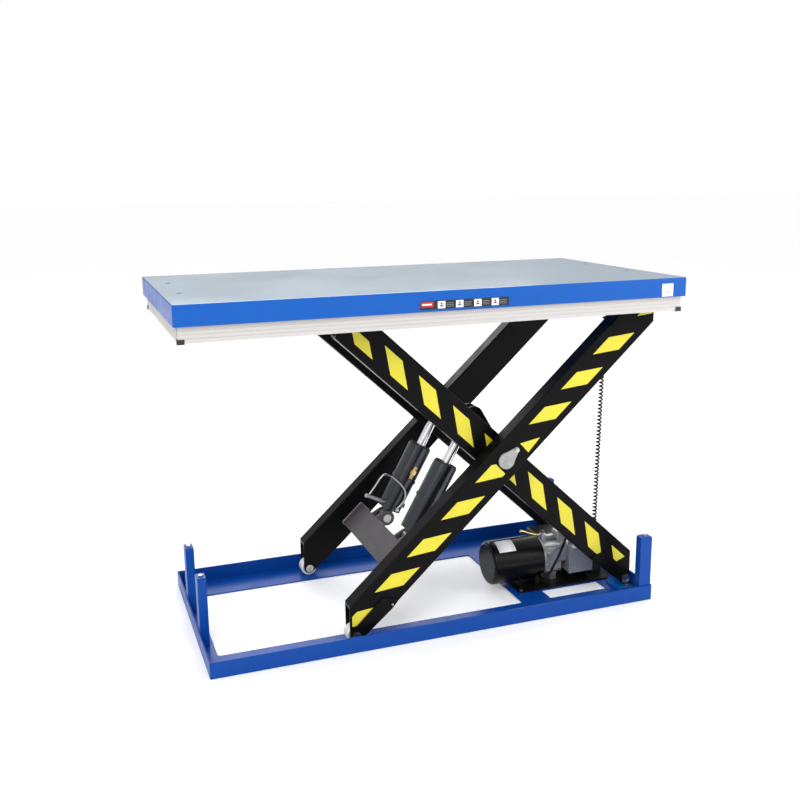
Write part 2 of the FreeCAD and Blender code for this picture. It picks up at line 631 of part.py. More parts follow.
save("rest_posts", *posts)
tray_bolts = []
for x, y in ((449.0, -193.0), (449.0, 138.0), (888.0, 138.0)):
    tray_bolts.append(hexagon(13.0, V(x, y, TRAY_TOP), V(0, 0, 1), 6.0))
save("base_bolts", *post_screws, *block_bolts, *tray_bolts)


# ---------------------------------------------------------------- power unit

BOX_X0 = 705.0
BOX_X1 = 820.0
BOX_FRONT = -160.0
BOX_LOW = 40.0
BOX_HIGH = 154.0
tray = box(437.0, 900.0, -205.0, 150.0, FLOOR_THICKNESS, TRAY_TOP)
for x in (BOX_X0 + 14, BOX_X1 - 30):
    tray = tray.fuse(box(x, x + 16, -140.0, -70.0, TRAY_TOP, BOX_LOW))
save("power_unit_tray", tray.removeSplitter())

motor = x_rod(MOTOR_RADIUS, MOTOR_Y, MOTOR_Z, MOTOR_LEFT + 30, MOTOR_RIGHT)
motor = motor.cut(x_rod(MOTOR_RADIUS - 5, MOTOR_Y, MOTOR_Z, MOTOR_LEFT + 30, MOTOR_RIGHT - 10))
motor = motor.cut(x_rod(15.0, MOTOR_Y, MOTOR_Z, MOTOR_RIGHT - 20, MOTOR_RIGHT))
for x in (450.0, 530.0):
    saddle = box(x, x + 16, MOTOR_Y - 70, MOTOR_Y + 70, TRAY_TOP, MOTOR_Z - 40)
    motor = motor.fuse(saddle.cut(x_rod(MOTOR_RADIUS - 2, MOTOR_Y, MOTOR_Z, x, x + 16)))
CABLE_END = V(MOTOR_RIGHT - 2, -187.0, 66.0)
motor = motor.fuse(x_rod(12.0, CABLE_END.y, CABLE_END.z, CABLE_END.x - 20, CABLE_END.x - 1))
save("motor_housing", motor.removeSplitter())

cap = x_rod(MOTOR_RADIUS, MOTOR_Y, MOTOR_Z, MOTOR_LEFT, MOTOR_LEFT + 30)
cap = cap.makeFillet(16.0, [e for e in cap.Edges if e.Closed and e.CenterOfMass.x < MOTOR_LEFT + 1])
cap = cap.cut(x_rod(MOTOR_RADIUS - 6, MOTOR_Y, MOTOR_Z, MOTOR_LEFT + 14, MOTOR_LEFT + 30))
save("motor_end_cap", cap)

SHAFT_RADIUS = 12.0
GEAR_START = 672.0
GEAR_END = 692.0
shaft = x_rod(SHAFT_RADIUS, MOTOR_Y, MOTOR_Z, MOTOR_LEFT + 18, GEAR_END + 4)
rotor = x_rod(62.0, MOTOR_Y, MOTOR_Z, 385.0, 530.0)
save("motor_rotor", shaft.fuse(rotor).removeSplitter())

MANIFOLD_END = 662.0
manifold = box(MOTOR_RIGHT + 12, MANIFOLD_END, MOTOR_Y - 58, MOTOR_Y + 58, 56.0, 184.0)
slopes = [e for e in manifold.Edges if abs(e.tangentAt(e.FirstParameter).x) > 0.99]
manifold = manifold.makeFillet(14.0, slopes)
manifold = manifold.fuse(x_rod(82.0, MOTOR_Y, MOTOR_Z, MOTOR_RIGHT, MOTOR_RIGHT + 12))
manifold = manifold.fuse(box(624.0, 654.0, MOTOR_Y - 30, MOTOR_Y + 30, TRAY_TOP, 60.0))
manifold = manifold.cut(x_rod(SHAFT_RADIUS + 1, MOTOR_Y, MOTOR_Z, MOTOR_RIGHT - 1, MANIFOLD_END + 1))
save("pump_manifold", manifold.removeSplitter())

GEAR_TEETH = 10
GEAR_MODULE = 3.0
GEAR_SPACING = GEAR_TEETH * GEAR_MODULE + 0.4
IDLER_Z = MOTOR_Z + GEAR_SPACING


def pump_gear(z, phase):
    """A spur gear with slim teeth, turning about an axis along X."""
    root = GEAR_TEETH * GEAR_MODULE / 2 - 1.25 * GEAR_MODULE
    tip = GEAR_TEETH * GEAR_MODULE / 2 + 0.8 * GEAR_MODULE
    gear = x_rod(root, MOTOR_Y, z, GEAR_START, GEAR_END)
    for i in range(GEAR_TEETH):
        tooth_points = [(root - 1, 2.4), (tip, 0.8), (tip, -0.8), (root - 1, -2.4)]
        corners = [V(GEAR_START, across, out) for out, across in tooth_points]
        tooth = Part.Face(Part.makePolygon(corners + corners[:1])).extrude(V(GEAR_END - GEAR_START, 0, 0))
        tooth.rotate(V(0, 0, 0), V(1, 0, 0), (i + phase) * 360.0 / GEAR_TEETH)
        tooth.translate(V(0, MOTOR_Y, z))
        gear = gear.fuse(tooth)
    return gear.removeSplitter()


drive_gear = pump_gear(MOTOR_Z, 0.0).cut(x_rod(SHAFT_RADIUS, MOTOR_Y, MOTOR_Z, 600.0, 800.0))
save("pump_drive_gear", *drive_gear.Solids)
idler = pump_gear(IDLER_Z, 0.5)
idler = idler.fuse(x_rod(6.0, MOTOR_Y, IDLER_Z, GEAR_START - 6, GEAR_END + 6))
save("pump_idler_gear", idler.removeSplitter())

casing = box(MANIFOLD_END, GEAR_END + 10, MOTOR_Y - 35, MOTOR_Y + 35, MOTOR_Z - 28, MOTOR_Z + 58)
cavity = x_rod(18.0, MOTOR_Y, MOTOR_Z, GEAR_START - 0.5, GEAR_END + 0.5)
cavity = cavity.fuse(x_rod(18.0, MOTOR_Y, IDLER_Z, GEAR_START - 0.5, GEAR_END + 0.5))
casing = casing.cut(cavity)
casing = casing.cut(x_rod(SHAFT_RADIUS + RUNNING_CLEARANCE, MOTOR_Y, MOTOR_Z, MANIFOLD_END - 1, GEAR_END + 5))
casing = casing.cut(x_rod(6.0 + RUNNING_CLEARANCE, MOTOR_Y, IDLER_Z, GEAR_START - 7, GEAR_END + 7))
save("pump_casing", casing.removeSplitter())

tank = box(640.0, 850.0, 14.0, 140.0, TRAY_TOP, 165.0)
tank = tank.makeFillet(10.0, [e for e in tank.Edges if e.CenterOfMass.z > TRAY_TOP + 1])
tank = tank.cut(box(644.0, 846.0, 18.0, 136.0, TRAY_TOP + 4, 155.0))
tank = tank.fuse(z_rod(18.0, 800.0, 80.0, 164.0, 180.0)).cut(z_rod(14.0, 800.0, 80.0, 150.0, 176.0))
suction = box(642.0, 660.0, MOTOR_Y + 58, 18.0, 92.0, 112.0)
save("oil_tank", tank.fuse(suction).removeSplitter())



def box_outline(inset):
    """The control box seen from the front: upright sides, then sloping shoulders."""
    shoulder = BOX_HIGH - 42.0
    slope = 16.0
    return [(BOX_X0 + inset, BOX_LOW + inset), (BOX_X1 - inset, BOX_LOW + inset),
            (BOX_X1 - inset, shoulder), (BOX_X1 - slope - inset, BOX_HIGH - inset),
            (BOX_X0 + slope + inset, BOX_HIGH - inset), (BOX_X0 + inset, shoulder)]


LID_THICKNESS = 12.0
control = prism(box_outline(0.0), BOX_FRONT + LID_THICKNESS, -55.0)
control = control.cut(prism(box_outline(4.0), BOX_FRONT + LID_THICKNESS - 1, -59.0))
GLAND = V(738.0, -104.0, 170.0)
control = control.fuse(z_rod(11.0, GLAND.x, GLAND.y, BOX_HIGH - 1, GLAND.z - 0.5))
save("control_box", control.removeSplitter())
lid = prism(box_outline(-1.5), BOX_FRONT, BOX_FRONT + LID_THICKNESS)
lid = lid.cut(prism(box_outline(6.0), BOX_FRONT - 1, BOX_FRONT + 3))
for x, z in ((BOX_X0 + 14, BOX_LOW + 14), (BOX_X1 - 14, BOX_LOW + 14),
             (BOX_X0 + 27, BOX_HIGH - 14), (BOX_X1 - 27, BOX_HIGH - 14)):
    lid = lid.fuse(y_rod(5.0, x, z, BOX_FRONT - 1, BOX_FRONT + 4))
save("control_box_lid", lid.removeSplitter())

VALVE_X = 606.0
VALVE_Y = -84.0
VALVE_TOP = 222.0
casting = box(666.0, 704.0, VALVE_Y - 28, VALVE_Y + 24, MOTOR_Z + 58, 224.0)
casting = casting.makeFillet(5.0, [e for e in casting.Edges if e.CenterOfMass.z > MOTOR_Z + 59])
valve_body = z_rod(16.0, VALVE_X, VALVE_Y, 184.0, VALVE_TOP - 10)
valve_body = valve_body.fuse(z_rod(9.0, VALVE_X, VALVE_Y, VALVE_TOP - 10, VALVE_TOP))
valve_body = valve_body.fuse(box(VALVE_X, 668.0, VALVE_Y - 10, VALVE_Y + 10, 188.0, 204.0)).fuse(casting)
valve_body = valve_body.cut(z_rod(5.0 + RUNNING_CLEARANCE, VALVE_X, VALVE_Y, VALVE_TOP - 18, VALVE_TOP + 1))
save("lowering_valve", valve_body.removeSplitter())
button = z_rod(5.0, VALVE_X, VALVE_Y, VALVE_TOP - 13, VALVE_TOP + 8)
button = button.fuse(z_rod(8.0, VALVE_X, VALVE_Y, VALVE_TOP + 3.5, VALVE_TOP + 8))
save("lowering_button", button)

# The brass lever of the hand pump lies over the motor, towards the left.
LEVER_FOOT = V(640.0, MOTOR_Y + 70, 174.0)
LEVER_TIP = V(524.0, MOTOR_Y + 70, 218.0)
lever_line = (LEVER_TIP - LEVER_FOOT).normalize()
lever = rod(9.0, V(LEVER_FOOT.x, MOTOR_Y + 58, 170.0), V(LEVER_FOOT.x, LEVER_FOOT.y + 7, 170.0))
lever = lever.fuse(rod(4.5, LEVER_FOOT, LEVER_TIP))
lever = lever.fuse(rod(8.5, LEVER_FOOT + lever_line * 14, LEVER_FOOT + lever_line * 36))
lever = lever.fuse(rod(6.5, LEVER_TIP - lever_line * 26, LEVER_TIP))
save("hydraulic_fittings", lever.removeSplitter())

cable_points = [GLAND, V(737.0, -105.0, 205.0), V(706.0, -128.0, 218.0), V(672.0, -166.0, 190.0),
                V(634.0, -184.0, 141.0), V(606.0, -190.0, 98.0), V(588.0, -189.0, 67.0), CABLE_END]
CABLE_RADIUS = 5.5
cable_radii = gentle_radii(cable_points)
print("motor cable bend radii", [round(r) for r in cable_radii])
save("motor_cable", tube(cable_points, cable_radii, CABLE_RADIUS))


# ---------------------------------------------------------------- curly cord to the platform

socket = box(835.0, 885.0, -125.0, -75.0, TRAY_TOP, 100.0)
socket = socket.fuse(z_rod(13.0, CORD_BOTTOM.x, CORD_BOTTOM.y, 99.0, CORD_BOTTOM.z - 0.5))
save("lower_cord_socket", socket.removeSplitter())
clamp = box(CORD_TOP.x - 18, CORD_TOP.x + 18, CORD_TOP.y - 16, CORD_TOP.y + 16, CORD_TOP.z + 12,
            DECK_BOTTOM)
clamp = clamp.fuse(z_rod(13.0, CORD_TOP.x, CORD_TOP.y, CORD_TOP.z + 0.5, CORD_TOP.z + 13))
save("upper_cord_clamp", clamp.removeSplitter())
save("curly_cord", rod(CORD_RADIUS, CORD_BOTTOM, CORD_TOP))


# ---------------------------------------------------------------- platform

half_deck = PLATFORM_WIDTH / 2
deck = box(-HALF_PLATFORM, HALF_PLATFORM, -half_deck, half_deck, RAISED_HEIGHT - SKIRT_HEIGHT,
           RAISED_HEIGHT)
corners = [e for e in deck.Edges if abs(e.tangentAt(e.FirstParameter).z) > 0.99]
deck = deck.makeFillet(7.0, corners)
top_edges = [e for e in deck.Edges if e.CenterOfMass.z > RAISED_HEIGHT - 1]
deck = deck.makeFillet(5.0, top_edges)
deck = deck.cut(box(-HALF_PLATFORM + SKIRT_THICKNESS, HALF_PLATFORM - SKIRT_THICKNESS,
                    -half_deck + SKIRT_THICKNESS, half_deck - SKIRT_THICKNESS,
                    RAISED_HEIGHT - SKIRT_HEIGHT - 1, DECK_BOTTOM))
for x in (-933.0, 933.0):
    for y in (-170.0, 170.0):
        deck = deck.cut(z_rod(10.0, x, y, DECK_BOTTOM - 1, RAISED_HEIGHT + 1))
for x0, x1, z0, z1 in ((-133.0, 223.0, 1311.5, 1345.5), (885.0, 940.0, 1306.5, 1359.5)):
    deck = deck.cut(box(x0, x1, -half_deck - 1, -half_deck + LABEL_RECESS, z0, z1))
save("platform_deck", deck.removeSplitter())

rails = []
for side, front in SIDES:
    rail = box(-960.0, -290.0, front * INNER_MIDDLE - 30, front * INNER_MIDDLE + 30, TRACK_BOTTOM,
               DECK_BOTTOM)
    rails.append(rail.cut(box(-961.0, -289.0, front * INNER_MIDDLE - 26, front * INNER_MIDDLE + 26,
                              TRACK_BOTTOM + 5, DECK_BOTTOM - 3)))
save("roller_rails", *rails)

stiffeners = []
for x in (-800.0, -450.0, -100.0, 250.0, 600.0):
    stiffener = box(x - 30, x + 30, -228.0, 228.0, TRACK_BOTTOM, DECK_BOTTOM)
    stiffeners.append(stiffener.cut(box(x - 26, x + 26, -229.0, 229.0, TRACK_BOTTOM + 4,
                                        DECK_BOTTOM + 1)))
save("deck_stiffeners", *stiffeners)


# ---------------------------------------------------------------- safety trip bar

BAR_TOP = BAR_BOTTOM + BAR_HEIGHT
BAR_WALL = 3.0
BAR_LONG = HALF_PLATFORM - BAR_INSET
BAR_SIDE = half_deck - BAR_INSET
HANGER_RADIUS = 5.0
HANGER_HEAD = 8.0
LONG_HANGERS = (-900.0, -300.0, 300.0, 900.0)
SHORT_HANGERS = (-300.0, 300.0)
bar_middle_y = BAR_SIDE - BAR_WIDTH / 2
bar_middle_x = BAR_LONG - BAR_WIDTH / 2


def extrusion(x0, x1, y0, y1, along_x, outward):
    """A hollow bar with three shallow grooves along its outer face, open at both ends."""
    bar = box(x0, x1, y0, y1, BAR_BOTTOM, BAR_TOP)
    wall_x = 0.0 if along_x else BAR_WALL
    wall_y = BAR_WALL if along_x else 0.0
    bar = bar.cut(box(x0 + wall_x, x1 - wall_x, y0 + wall_y, y1 - wall_y,
                      BAR_BOTTOM + BAR_WALL, BAR_TOP - BAR_WALL))
    for z in (BAR_BOTTOM + 14, BAR_BOTTOM + 28, BAR_BOTTOM + 42):
        if along_x:
            face = y1 if outward > 0 else y0
            bar = bar.cut(box(x0, x1, face - 1.2, face + 1.2, z, z + 3))
        else:
            face = x1 if outward > 0 else x0
            bar = bar.cut(box(face - 1.2, face + 1.2, y0, y1, z, z + 3))
    return bar


def hanger(x, y):
    """A bolt that hangs from the deck and holds the bar by its top wall."""
    head_top = BAR_TOP - BAR_WALL - BODY_GAP
    shank = z_rod(HANGER_RADIUS, x, y, head_top - 5, DECK_BOTTOM)
    return shank.fuse(z_rod(HANGER_HEAD, x, y, head_top - 6, head_top))


long_bars = []
short_bars = []
hangers = []
hole = HANGER_RADIUS + 0.6
for front in (-1, 1):
    y0, y1 = sorted((front * BAR_SIDE, front * (BAR_SIDE - BAR_WIDTH)))
    bar = extrusion(-BAR_LONG, BAR_LONG, y0, y1, True, front)
    for x in LONG_HANGERS:
        bar = bar.cut(z_rod(hole, x, front * bar_middle_y, BAR_TOP - 5, BAR_TOP + 1))
        hangers.append(hanger(x, front * bar_middle_y))
    long_bars.append(bar)
    x0, x1 = sorted((front * BAR_LONG, front * (BAR_LONG - BAR_WIDTH)))
    bar = extrusion(x0, x1, -BAR_SIDE + BAR_WIDTH, BAR_SIDE - BAR_WIDTH, False, front)
    for y in SHORT_HANGERS:
        bar = bar.cut(z_rod(hole, front * bar_middle_x, y, BAR_TOP - 5, BAR_TOP + 1))
        hangers.append(hanger(front * bar_middle_x, y))
    short_bars.append(bar)
save("safety_bar_long", *long_bars)
save("safety_bar_short", *short_bars)
save("bar_hanger_bolts", *hangers)

caps = []
CAP_PROUD = 3.0
for end in (-1, 1):
    for front in (-1, 1):
        x0, x1 = sorted((end * (BAR_LONG + CAP_PROUD), end * (BAR_LONG - 22)))
        y0, y1 = sorted((front * (BAR_SIDE + CAP_PROUD), front * (BAR_SIDE - 22)))
        cap = box(x0, x1, y0, y1, BAR_BOTTOM - CAP_PROUD, BAR_BOTTOM + 14)
        cap = cap.makeFillet(2.0, [e for e in cap.Edges if abs(e.tangentAt(e.FirstParameter).z) > 0.99])
        inner_x = sorted((end * BAR_LONG, end * (BAR_LONG - 23)))
        inner_y = sorted((front * BAR_SIDE, front * (BAR_SIDE - 23)))
        caps.append(cap.cut(box(inner_x[0], inner_x[1], inner_y[0], inner_y[1], BAR_BOTTOM,
                                BAR_BOTTOM + 15)))
save("bar_corner_caps", *caps)

switches = []
for x in (-600.0, 600.0):
    for front in (-1, 1):
        y0, y1 = sorted((front * 456.0, front * 432.0))
        body = box(x - 16, x + 16, y0, y1, BAR_TOP + 15, DECK_BOTTOM)
        lever_y0, lever_y1 = sorted((front * 478.0, front * 440.0))
        lever = box(x - 6, x + 6, lever_y0, lever_y1, BAR_TOP + 11.5, BAR_TOP + 15)
        switches.append(body.fuse(lever).removeSplitter())
save("trip_switches", *switches)

print("cord length", (CORD_TOP - CORD_BOTTOM).Length)
print("raised cylinder length", RAISED_LENGTH, "eyes", BARREL_EYE, ROD_EYE)
print("centre", CENTRE_X, CENTRE_Z, "roller x", ROLLER_X, "angle", math.degrees(LINE_ANGLE))
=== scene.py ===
import math

import bpy
import bmesh
from mathutils import Vector, Matrix


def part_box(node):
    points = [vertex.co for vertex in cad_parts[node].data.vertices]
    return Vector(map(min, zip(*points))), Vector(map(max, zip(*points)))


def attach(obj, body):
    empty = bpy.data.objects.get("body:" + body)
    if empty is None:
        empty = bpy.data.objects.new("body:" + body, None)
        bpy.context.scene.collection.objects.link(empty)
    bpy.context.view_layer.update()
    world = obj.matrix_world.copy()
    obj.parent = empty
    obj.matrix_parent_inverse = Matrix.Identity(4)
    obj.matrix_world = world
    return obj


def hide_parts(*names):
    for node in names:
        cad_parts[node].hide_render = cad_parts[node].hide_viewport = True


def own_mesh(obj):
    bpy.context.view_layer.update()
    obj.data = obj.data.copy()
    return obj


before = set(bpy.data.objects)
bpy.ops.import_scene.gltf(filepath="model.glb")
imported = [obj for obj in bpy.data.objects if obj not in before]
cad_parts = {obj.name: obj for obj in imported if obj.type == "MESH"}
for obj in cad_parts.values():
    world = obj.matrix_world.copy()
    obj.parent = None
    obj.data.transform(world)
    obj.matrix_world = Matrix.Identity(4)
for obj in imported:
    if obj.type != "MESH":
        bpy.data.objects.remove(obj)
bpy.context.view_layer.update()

# The model's own places and sizes, in metres, and its arms' angle at rest.
ARM_ANGLE = math.radians(42.8343)
CENTRE = Vector((0.2707148, 0.0, 0.6785))
OUTER_FACE = 0.392
INNER_FACE = 0.296
DOUBLER = 0.006
ARM_WIDTH = 0.070
SKIRT_FACE = -0.4993
MOTOR_FLANGE_X = 0.576
MOTOR_AXIS = Vector((0.0, -0.1, 0.122))
MOTOR_RADIUS = 0.095
BARREL_EYE = Vector((-0.0581304, 0.0, 0.3095368))
ROD_AXIS = Vector((0.4902805, 0.0, 0.8715647)).normalized()
BEAM_START = -0.645
BEAM_END = -0.523
BEAM_DEPTH = 0.058
LUG_SIDES = (0.1145, 0.1265, 0.1675, 0.1795)


# ---------------------------------------------------------------- materials

BUMP_DEPTH = 0.0004


def node_material(name, colour, roughness, metallic=0.0, **look):
    """Principled surface whose colour drift, grime, uneven gloss and fine bump come from noise."""
    mat = bpy.data.materials.new(name)
    mat.use_nodes = True
    tree = mat.node_tree
    shader = tree.nodes["Principled BSDF"]
    shader.inputs["Metallic"].default_value = metallic
    shader.inputs["Coat Weight"].default_value = look.get("coat", 0.0)
    shader.inputs["Coat Roughness"].default_value = look.get("coat_roughness", 0.08)
    shader.inputs["Coat IOR"].default_value = look.get("coat_ior", 1.5)
    shader.inputs["Specular IOR Level"].default_value = look.get("specular", 0.5)
    place = tree.nodes.new("ShaderNodeTexCoord")
    stretch = tree.nodes.new("ShaderNodeMapping")
    stretch.inputs["Scale"].default_value = look.get("stretch", (1.0, 1.0, 1.0))
    tree.links.new(place.outputs["Object"], stretch.inputs["Vector"])

    def noise(scale, detail=4.0):
        node = tree.nodes.new("ShaderNodeTexNoise")
        node.inputs["Scale"].default_value = scale
        node.inputs["Detail"].default_value = detail
        node.inputs["Roughness"].default_value = 0.6
        tree.links.new(stretch.outputs["Vector"], node.inputs["Vector"])
        return node.outputs["Fac"]

    def spread(value, low, high, start=0.3, stop=0.7):
        node = tree.nodes.new("ShaderNodeMapRange")
        node.inputs["From Min"].default_value = start
        node.inputs["From Max"].default_value = stop
        node.inputs["To Min"].default_value = low
        node.inputs["To Max"].default_value = high
        tree.links.new(value, node.inputs["Value"])
        return node.outputs["Result"]

    def blend_colours(factor, first, second):
        node = tree.nodes.new("ShaderNodeMix")
        node.data_type = "RGBA"
        tree.links.new(factor, node.inputs["Factor"])
        for socket, value in ((node.inputs[6], first), (node.inputs[7], second)):
            if isinstance(value, tuple):
                socket.default_value = (*value, 1.0)
            else:
                tree.links.new(value, socket)
        return node.outputs[2]

    darker = tuple(c * look.get("drift", 0.86) for c in colour)
    result = blend_colours(spread(noise(look.get("drift_scale", 5.0)), 0.0, 1.0), colour, darker)
    if "grime" in look:
        film = spread(noise(look.get("grime_scale", 9.0), 8.0), 0.0, look.get("grime_share", 0.5), 0.5, 0.78)
        result = blend_colours(film, result, look["grime"])
    tree.links.new(result, shader.inputs["Base Color"])
    swing = look.get("swing", 0.08)
    gloss = spread(noise(look.get("gloss_scale", 14.0), 6.0), roughness - swing, roughness + swing)
    tree.links.new(gloss, shader.inputs["Roughness"])
    bump = tree.nodes.new("ShaderNodeBump")
    bump.inputs["Strength"].default_value = look.get("bump", 0.12)
    bump.inputs["Distance"].default_value = BUMP_DEPTH
    tree.links.new(noise(look.get("bump_scale", 350.0), 3.0), bump.inputs["Height"])
    tree.links.new(bump.outputs["Normal"], shader.inputs["Normal"])
    if look.get("round_edges"):
        bevel = tree.nodes.new("ShaderNodeBevel")
        bevel.samples = 4
        bevel.inputs["Radius"].default_value = look["round_edges"]
        tree.links.new(bevel.outputs["Normal"], bump.inputs["Normal"])
    return mat


BLUE = node_material("blue_enamel", (0.0012, 0.085, 0.40), 0.36, coat=0.12, coat_roughness=0.2, drift=0.96,
                     specular=0.22, grime=(0.004, 0.07, 0.34), grime_share=0.1, bump=0.05, bump_scale=260.0,
                     round_edges=0.0015)
# The base and its rest posts take a darker copy of the platform's blue: painted shade for the shade that
# falls on the base under the platform.
BASE_BLUE_PAINTED_SHADE = node_material("base_enamel_painted_shade", (0.0005, 0.052, 0.29), 0.38, coat=0.08, coat_roughness=0.2,
                          drift=0.95, specular=0.15, grime=(0.003, 0.05, 0.27), grime_share=0.1, bump=0.05,
                          bump_scale=260.0, round_edges=0.0015)
# The deck's top takes a paler copy of the platform's blue: painted sheen for the light that glances off it.
DECK_TOP_PAINTED_SHEEN = node_material("deck_enamel_painted_sheen", (0.10, 0.31, 0.50), 0.2, coat=1.0, coat_roughness=0.05,
                         coat_ior=1.8, specular=0.6, drift=0.95, drift_scale=1.2, swing=0.05,
                         gloss_scale=3.0, grime=(0.2, 0.3, 0.42), grime_share=0.2, bump=0.03,
                         bump_scale=180.0)
BLACK = node_material("black_enamel", (0.0035, 0.0035, 0.0038), 0.36, coat=0.02, coat_roughness=0.2,
                      drift=0.85, specular=0.07, bump=0.04, bump_scale=300.0, round_edges=0.001)
PIVOT_BLUE = node_material("pivot_enamel", (0.002, 0.1, 0.4), 0.38, coat=0.1, specular=0.25,
                           round_edges=0.001)
MILL_STEEL = node_material("mill_steel", (0.10, 0.088, 0.094), 0.5, 0.2, specular=0.3, drift=0.85,
                           drift_scale=4.0, grime=(0.14, 0.125, 0.125), grime_share=0.3, grime_scale=6.0,
                           bump=0.1, bump_scale=120.0, round_edges=0.001)
WELD = node_material("weld_bead", (0.3, 0.28, 0.27), 0.45, 0.6, drift=0.6, drift_scale=60.0, bump=0.8,
                     bump_scale=300.0)
KEEPER_ZINC = node_material("keeper_zinc", (0.42, 0.42, 0.42), 0.45, 0.8, drift=0.7, drift_scale=40.0,
                            grime=(0.2, 0.2, 0.2), grime_share=0.5, grime_scale=60.0, bump=0.5,
                            bump_scale=450.0, round_edges=0.001)
ZINC = node_material("zinc_plate", (0.62, 0.62, 0.6), 0.3, 1.0, drift=0.8, swing=0.1, bump=0.05)
CHROME = node_material("hard_chrome", (0.93, 0.92, 0.95), 0.16, 1.0, drift=0.98, swing=0.02, bump=0.01,
                       stretch=(1.0, 1.0, 0.2))
BARREL_PAINT = node_material("barrel_enamel", (0.007, 0.011, 0.017), 0.24, coat=0.45, coat_roughness=0.1,
                             specular=0.5, drift=0.85, swing=0.03, bump=0.01)
NYLON = node_material("nylon", (0.8, 0.8, 0.76), 0.45, drift=0.95, grime=(0.5, 0.48, 0.44), grime_share=0.4,
                      bump=0.08, round_edges=0.001)
ALUMINIUM = node_material("bar_aluminium", (0.54, 0.52, 0.505), 0.42, 0.1, drift=0.96, drift_scale=3.0,
                          specular=0.3, stretch=(0.15, 0.15, 4.0), grime=(0.5, 0.48, 0.46), grime_share=0.3,
                          bump=0.05)
CAP_BLACK = node_material("moulded_black", (0.012, 0.012, 0.013), 0.5, drift=0.8, bump=0.15,
                          bump_scale=500.0, round_edges=0.001)
MOTOR_BLACK = node_material("motor_enamel", (0.004, 0.004, 0.0042), 0.3, coat=0.08, coat_roughness=0.2,
                            specular=0.15, drift=0.85, bump=0.03, bump_scale=220.0, round_edges=0.001)
TRAY_BLACK = node_material("tray_enamel", (0.004, 0.004, 0.004), 0.4, specular=0.15, drift=0.8,
                           grime=(0.01, 0.009, 0.009), grime_share=0.4, bump=0.06)
CAST = node_material("cast_aluminium", (0.55, 0.56, 0.57), 0.42, 0.85, drift=0.75, grime=(0.2, 0.2, 0.2),
                     grime_share=0.5, grime_scale=30.0, bump=0.4, bump_scale=420.0, round_edges=0.0015)
BOX_GREY = node_material("control_box_enamel", (0.36, 0.38, 0.42), 0.4, 0.3, coat=0.3, drift=0.9,
                         grime=(0.2, 0.2, 0.22), bump=0.15, bump_scale=420.0, round_edges=0.0015)
BRASS = node_material("brass", (0.72, 0.52, 0.22), 0.28, 1.0, drift=0.8, bump=0.05, round_edges=0.0005)
BRONZE = node_material("bronze", (0.45, 0.33, 0.17), 0.45, 1.0, drift=0.8, bump=0.15)
RUBBER = node_material("cord_sheath", (0.006, 0.006, 0.0065), 0.42, drift=0.8, specular=0.15, bump=0.05)
TANK = node_material("tank_enamel", (0.02, 0.02, 0.022), 0.35, coat=0.3, drift=0.8, grime=(0.05, 0.05, 0.05),
                     bump=0.08, round_edges=0.001)
YELLOW = node_material("hazard_yellow", (0.66, 0.58, 0.02), 0.42, coat=0.15, drift=0.92, drift_scale=12.0,
                       grime=(0.45, 0.4, 0.03), grime_share=0.2, bump=0.06)
LABEL_WHITE = node_material("label_white", (0.85, 0.85, 0.86), 0.4, drift=0.96, bump=0.03)
LABEL_BLACK = node_material("label_black", (0.01, 0.01, 0.01), 0.4, drift=0.8, bump=0.03)
LABEL_RED = node_material("label_red", (0.45, 0.03, 0.035), 0.4, drift=0.9, bump=0.03)
LABEL_GREY = node_material("label_grey", (0.22, 0.22, 0.22), 0.4, drift=0.9, bump=0.03)
STEEL = node_material("machined_steel", (0.5, 0.5, 0.49), 0.32, 1.0, drift=0.85, grime=(0.3, 0.29, 0.28),
                      bump=0.05)

NODE_MATERIALS = {
    BLUE: ["platform_deck", "roller_rails", "deck_stiffeners"],
    BASE_BLUE_PAINTED_SHADE: ["base_frame", "rest_posts"],
    PIVOT_BLUE: ["lower_pivot_blocks", "upper_pivot_blocks"],
    ZINC: ["base_bolts", "lower_pivot_pins", "upper_pivot_pins", "upper_axles", "lower_axles",
           "keeper_screws", "barrel_pins", "bar_hanger_bolts", "centre_pins"],
    KEEPER_ZINC: ["keeper_plates"],
    BLACK: ["inner_arm_front", "inner_arm_rear", "outer_arm_front", "outer_arm_rear", "lug_cross_tube",
            "rod_lugs"],
    MILL_STEEL: ["cross_beam", "barrel_lugs"],
    BARREL_PAINT: ["cylinder_barrel_front", "cylinder_barrel_rear"],
    STEEL: ["hydraulic_pipe", "motor_rotor", "pump_drive_gear", "pump_idler_gear"],
    CHROME: ["cylinder_rod_front", "cylinder_rod_rear"],
    NYLON: ["lower_roller_front", "lower_roller_rear", "upper_roller_front", "upper_roller_rear"],
    ALUMINIUM: ["safety_bar_long", "safety_bar_short"],
    CAP_BLACK: ["bar_corner_caps", "trip_switches", "upper_cord_clamp", "lower_cord_socket",
                "lowering_button", "cylinder_gland_front", "cylinder_gland_rear"],
    MOTOR_BLACK: ["motor_housing", "motor_end_cap"],
    TRAY_BLACK: ["power_unit_tray"],
    CAST: ["pump_manifold", "pump_casing", "lowering_valve"],
    BOX_GREY: ["control_box", "control_box_lid"],
    BRASS: ["hydraulic_fittings", "flow_valve"],
    BRONZE: ["centre_bushes"],
    RUBBER: ["motor_cable"],
    TANK: ["oil_tank"],
}
for material, names in NODE_MATERIALS.items():
    for name in names:
        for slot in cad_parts[name].material_slots:
            slot.material = material


def paint_faces(name, material, chosen):
    """Give a second material to those of a node's faces for which chosen(face) is true."""
    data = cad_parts[name].data
    data.materials.append(material)
    for face in data.polygons:
        if chosen(face):
            face.material_index = len(data.materials) - 1


